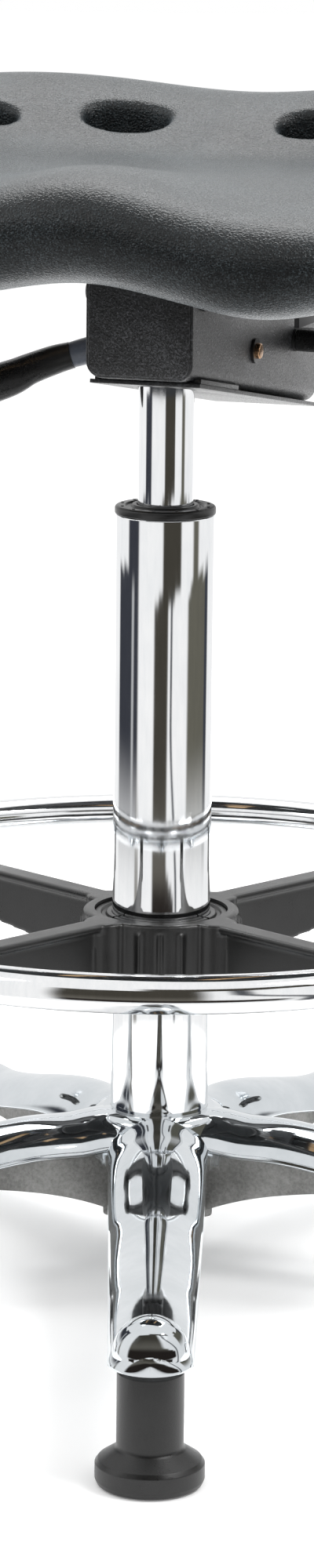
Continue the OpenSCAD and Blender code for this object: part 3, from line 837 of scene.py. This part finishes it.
def ring_bush():
    """The split bush in the hub, with a grooved top face and three slots."""
    shape = Shape().revolved(filleted([
        (TUBE_R + RUN, HUB_BOTTOM - 6, 0.6), (BUSH_R + 4, HUB_BOTTOM - 6, 1.6),
        (BUSH_R + 4, HUB_BOTTOM - 0.4, 1.2), (BUSH_R, HUB_BOTTOM - 0.4, 0.2),
        (BUSH_R, HUB_TOP - 1.6, 0.9), (31.0, HUB_TOP - 1.6, 0.6), (30.2, HUB_TOP - 3.2, 0.5),
        (28.4, HUB_TOP - 3.2, 0.5), (27.8, HUB_TOP - 1.6, 0.6), (TUBE_R + RUN, HUB_TOP - 1.6, 0.6)]),
        turns=144)
    obj = shape.object("ring_sleeve")
    for angle in (90, 210, 330):
        slot = Shape().block((TUBE_R - 2, -0.8, HUB_BOTTOM + 6), (BUSH_R + 3, 0.8, HUB_TOP + 5))
        cut(obj, Shape().add(spun(slot.points, angle), slot.faces).object("slot"))
    finished(obj, "foot_ring_bush", "nylon_black")


ring_bush()

# ---- base ------------------------------------------------------------------------
LEG_R, LEG_TIP_Z = 331.0, 57.0
TIP_R, DOME_R, DOME_Z = 19.6, 17.6, 61.8
BASE_TOP, BASE_BOTTOM = 84.0, 33.0
CROWN = 1.5             # power that shapes the cap of a leg: 1 is an ellipse, more is peaked
HUB_SIDE, HUB_SIDE_Z = 42, 64
CORE_R, CORE_TOP, BORE_START = 31, 80, 12
WALL = 5                # thickness of the hollow legs
TUBE_GAP = 0.05         # between the hub's bore and the tube


def leg_top(r):
    """Height of a leg's crest at radius r, falling in a round nose past the glide."""
    body = (68.5 + 13.5 * (1 - smooth((r - 60) / 95)) + 2 * smooth((r - 200) / 90)
            + 2.2 * smooth((50 - r) / 20))
    fall = np.clip((r - 322) / (LEG_R + TIP_R - 322), 0.0, 1.0)
    return DOME_Z + (body - DOME_Z) * np.sqrt(1 - fall ** 2.4)


def leg_low(r):
    """Height of a leg's lower edge, deep at the hub."""
    return mix(BASE_BOTTOM, LEG_TIP_Z, 1 - math.exp(-max(0.0, r - 25) / 44))


def leg_half(r):
    """Half width of a leg, closing round the nose."""
    if r > LEG_R:
        return TIP_R * math.sqrt(max(1e-5, 1 - ((r - LEG_R) / TIP_R) ** 2))
    return mix(25.5, TIP_R, (r - 30) / (LEG_R - 30))


def polish_edge(r):
    """Height at which the buffed cap gives way to the cast wall."""
    return float(leg_top(r) - mix(15.4, 12.4, smooth((r - 60) / 200)))


def leg_ring(r, half, top, low, step):
    """One cross-section: a crowned cap over walls set in by a small step."""
    arch = np.linspace(0, math.pi, 41)
    ledge = max(polish_edge(r), low + 0.2)
    shoulder = ledge + 0.6
    y = half * np.cos(arch)
    z = shoulder + (top - shoulder) * np.abs(np.sin(arch)) ** CROWN
    side = [(half - step, low), (half - step, mix(low, ledge, 0.5)), (half - step, ledge - step),
            (half, ledge)]
    left = [(r, y0, z0) for y0, z0 in side]
    return left + [(r, a, b) for a, b in zip(y, z)] + [(r, -y0, z0) for _, y0, z0 in left[::-1]]


def leg_outer():
    """A solid leg along x, from inside the hub to its round nose."""
    stations = [*np.linspace(6, 318, 60), *np.linspace(321, LEG_R, 6)]
    stations += [LEG_R + TIP_R * math.sin(math.radians(t)) for t in (8, 18, 28, 38, 48, 58, 67, 75, 82, 88)]
    return Shape().tube([leg_ring(r, leg_half(r), float(leg_top(r)), leg_low(r),
                                  1 - float(smooth((r - 200) / 90))) for r in stations])


def leg_hollow():
    """The open channel under a leg."""
    rings = []
    for r in np.linspace(2, LEG_R - 24, 40):
        half, low, top = leg_half(r), leg_low(r) - 30, float(leg_top(r)) - WALL
        right = [(half - WALL, low), (half - WALL - 0.5, top - 8), (half - WALL - 4, top)]
        rings.append([(r, y, z) for y, z in right] + [(r, -y, z) for y, z in right[::-1]])
    return Shape().tube(rings)


def leg_dome():
    """The boss over the glide's stem."""
    arc = [(DOME_R * math.cos(t), DOME_Z + DOME_R * math.sin(t))
           for t in np.linspace(0, math.pi / 2, 25)[:-1]]
    outline = [(0.0, DOME_Z - 3), (DOME_R, DOME_Z - 3)] + arc + [(0.0, DOME_Z + DOME_R)]
    return Shape().revolved(outline, upright(LEG_R, 0), 72)


def base():
    """The casting: a hub with five legs joined on, hollowed below and bored for the tube."""
    hub = filleted([(BORE_START, BASE_BOTTOM, 0), (HUB_SIDE - 1, BASE_BOTTOM, 2), (HUB_SIDE, HUB_SIDE_Z, 5),
                    (33, 82, 12), (28.5, BASE_TOP, 1), (BORE_START, BASE_TOP, 0)], 8)
    body = Shape().revolved(hub, turns=160).object("base_shell")
    for part, name, how in ((leg_outer(), "leg", "UNION"), (leg_dome(), "dome", "UNION"),
                            (leg_hollow(), "hollow", "DIFFERENCE")):
        for angle in LEG_ANGLES:
            cut(body, Shape().add(spun(part.points, angle), part.faces).object(name), how)
    core = filleted([(BORE_START, BASE_BOTTOM, 0), (CORE_R, BASE_BOTTOM, 1), (CORE_R, CORE_TOP, 0),
                     (BORE_START, CORE_TOP, 0)])
    cut(body, Shape().revolved(core, turns=96).object("core"), "UNION")
    bore = [(0.0, 0), (TUBE_R + TUBE_GAP, 0), (TUBE_R + TUBE_GAP, 120), (0.0, 120)]
    cut(body, Shape().revolved(bore, turns=160).object("bore"))
    mesh = body.data
    polish = mesh.attributes.new("polish", "FLOAT", "POINT")
    for i, v in enumerate(mesh.vertices):
        x, y, z = v.co / MM
        polish.data[i].value = float(smooth((z - polish_edge(math.hypot(x, y)) + 0.8) / 1.2))
    finished(body, "base_casting", "polished_aluminium", sharp=32)


base()


# ---- glides ----------------------------------------------------------------------
def foot_profile(top):
    """Outline of a glide: a broad foot with a neck up to the leg."""
    return filleted([(0.0, 0.0, 0), (21.5, 0, 4), (24, 1, 2), (25, 3.5, 2), (25, 10.5, 1), (23.5, 12.5, 1.2),
                     (15.3, 18, 3), (15.3, top - 2, 0.6), (13.5, top, 0.5), (0.0, top, 0)], closed=False)


for k, angle in enumerate(map(math.radians, LEG_ANGLES), 1):
    place = upright(LEG_R * math.cos(angle), LEG_R * math.sin(angle))
    shape = Shape().revolved(foot_profile(box_mm(f"glide_{k}")[1][2]), place, 96)
    finished(shape.object(f"glide_foot_{k}"), f"glide_{k}", "nylon_black")


# ---- studio ----------------------------------------------------------------------
FLOOR = [(-12, -12, 0), (12, -12, 0), (12, 12, 0), (-12, 12, 0)]
FLOOR_LEVEL, FLOOR_GLOW = 0.92, 0.11
SENSOR, LENS = 36.0, 110.75         # millimetres
CAMERA_AT = (-0.0028, -2.4, 0.769)
CAMERA_ROUND, CAMERA_DOWN, CAMERA_ROLL = 0.5, 12.14, 0.6    # degrees


def stage_mesh(name, points, faces, paint):
    """A plain mesh that dresses the studio and isn't part of the object."""
    mesh = bpy.data.meshes.new(name)
    mesh.from_pydata(points, [], faces)
    obj = bpy.data.objects.new(name, mesh)
    bpy.context.scene.collection.objects.link(obj)
    mesh.materials.append(paint.material)
    return obj


stage_mesh("floor", FLOOR, [(0, 1, 2, 3)],
           Paint("floor", grey(FLOOR_LEVEL), 0.0, 0.9, Emission_Color=grey(FLOOR_LEVEL),
                 Emission_Strength=FLOOR_GLOW))


def band(a, start, end, soft):
    """1 between two angles, easing to 0 over soft degrees inside each."""
    return smooth((a - start) / soft) * smooth((end - a) / soft)


def laid(tone, weight, colour):
    """tone with colour laid over it by weight."""
    return tone + np.asarray(weight)[..., None] * (np.asarray(colour, float) - tone)


def near_reflection_tones(a, z):
    """Painted reflections: dark bands and pale gaps, laid on a glowing wall, that stripe the bright metal and
    pale towards the floor.

    a is the angle in degrees from the camera's side, and z the height in metres.
    """
    upper = smooth((z - 0.326) / 0.012)
    painted_band_reach = smooth((z - 0.09) / 0.13)
    by_floor = smooth((0.125 - z) / 0.03)
    tone = np.ones(a.shape + (3,))
    # the left dark band of painted reflection, a pale gap in it, and its faded foot
    tone = laid(tone, band(a, mix(-124, -92, upper), -57, 6) * painted_band_reach, (0.045, 0.048, 0.060))
    tone = laid(tone, band(a, -80, -70, 4) * painted_band_reach * (1 - upper) * 0.6, (0.80, 0.81, 0.82))
    tone = laid(tone, band(a, -67, -54, 4) * (1 - painted_band_reach), (0.30, 0.29, 0.27))
    # the brown right band of painted reflection and its dark far edge
    tone = laid(tone, band(a, mix(52, 64, upper), mix(118, 86, upper), 7) * painted_band_reach, (0.135, 0.130, 0.105))
    tone = laid(tone, band(a, 102, 119, 6) * painted_band_reach * (1 - upper), (0.045, 0.050, 0.065))
    # the middle dark band of painted reflection, which ends in white just above the floor
    middle = laid(np.broadcast_to((0.058, 0.053, 0.043), tone.shape), 1 - painted_band_reach, (0.15, 0.14, 0.12))
    middle = laid(middle, by_floor, (0.022, 0.018, 0.016))
    right = mix(mix(12, 30, by_floor), 40, upper)
    tone = laid(tone, band(a, mix(-24, -6, upper), right, 5), middle)
    tone = laid(tone, smooth((0.056 - z) / 0.010) * band(a, -40, 45, 4), (1, 1, 1))
    # a thin dark line of painted reflection right of it that leans outwards as it falls
    line = mix(33, 17, smooth((z - 0.09) / 0.15))
    return laid(tone, band(a, line - 3.5, line + 3.5, 2.5) * (1 - upper), (0.10, 0.105, 0.115))


def high_reflection_tone(a, z):
    """One dark band of painted reflection, for what stands above the near wall."""
    tone = np.ones(a.shape + (3,))
    return laid(tone, band(a, -80, 80, 12) * smooth((z - 0.12) / 0.06) * smooth((1.25 - z) / 0.45),
                (0.040, 0.042, 0.046))


def reflection_painting_wall(name, distance, reach, low, high, tone):
    """An upright curved glowing wall seen only in reflections, its tones painted reflections; angles run
    right from the camera's side.
    """
    a, z = np.meshgrid(np.linspace(-reach, reach, 241), np.linspace(low, high, 51))
    rows, columns = a.shape
    t = np.radians(a)
    points = np.stack([distance * np.sin(t), -distance * np.cos(t), z], -1).reshape(-1, 3)
    faces = [(k * columns + i, k * columns + i + 1, (k + 1) * columns + i + 1, (k + 1) * columns + i)
             for k in range(rows - 1) for i in range(columns - 1)]
    paint = Paint(name, grey(0.0), 0.0, 1.0, Specular_IOR_Level=0.0, Emission_Strength=1.0)
    paint.put("Emission Color", paint.attribute("tone", "Color"))
    obj = stage_mesh(name, points.tolist(), faces, paint)
    colours = np.ones((rows * columns, 4))
    colours[:, :3] = tone(a, z).reshape(-1, 3)
    obj.data.attributes.new("tone", "FLOAT_COLOR", "POINT").data.foreach_set("color", colours.ravel())
    obj.visible_camera = obj.visible_diffuse = obj.visible_shadow = False
    obj.visible_transmission = obj.visible_volume_scatter = False


# glowing walls hidden from the camera, whose tones paint the reflections in the bright metal and the seat
reflection_painting_wall("near_wall_painted_reflections", 0.42, 150, 0.0, 0.405, near_reflection_tones)
reflection_painting_wall("high_wall_painted_reflection", 1.7, 80, 0.12, 1.25, high_reflection_tone)


def softbox(name, place, target, size, power):
    """A soft rectangular light at place, aimed at target."""
    light = bpy.data.lights.new(name, "AREA")
    light.shape = "RECTANGLE"
    light.size, light.size_y = size
    light.energy = power
    obj = bpy.data.objects.new(name, light)
    bpy.context.scene.collection.objects.link(obj)
    obj.location = place
    obj.rotation_euler = (Vector(target) - Vector(place)).to_track_quat("-Z", "Y").to_euler()


softbox("key", (1.5, -0.9, 2.3), (0, 0, 0.5), (0.9, 0.9), 34)
softbox("fill", (-1.9, -0.9, 1.9), (0, 0, 0.4), (1.2, 1.2), 14)
softbox("top", (0.1, 1.2, 2.4), (0, 0, 0.5), (2.0, 1.2), 44)

world = bpy.data.worlds.new("studio")
bpy.context.scene.world = world
world.use_nodes = True
world.node_tree.nodes["Background"].inputs["Color"].default_value = (1.0, 1.0, 1.0, 1.0)
world.node_tree.nodes["Background"].inputs["Strength"].default_value = 1.0
bpy.context.scene.view_settings.view_transform = "Standard"

camera_data = bpy.data.cameras.new("camera")
camera_data.sensor_width = SENSOR
camera_data.lens = LENS
camera_data.clip_end = 50.0
camera = bpy.data.objects.new("camera", camera_data)
bpy.context.scene.collection.objects.link(camera)
camera.matrix_world = (Matrix.Rotation(math.radians(CAMERA_ROUND), 4, "Z")
                       @ Matrix.Translation(CAMERA_AT)
                       @ Matrix.Rotation(math.radians(90 - CAMERA_DOWN), 4, "X")
                       @ Matrix.Rotation(math.radians(CAMERA_ROLL), 4, "Z"))
bpy.context.scene.camera = camera

bpy.context.view_layer.update()
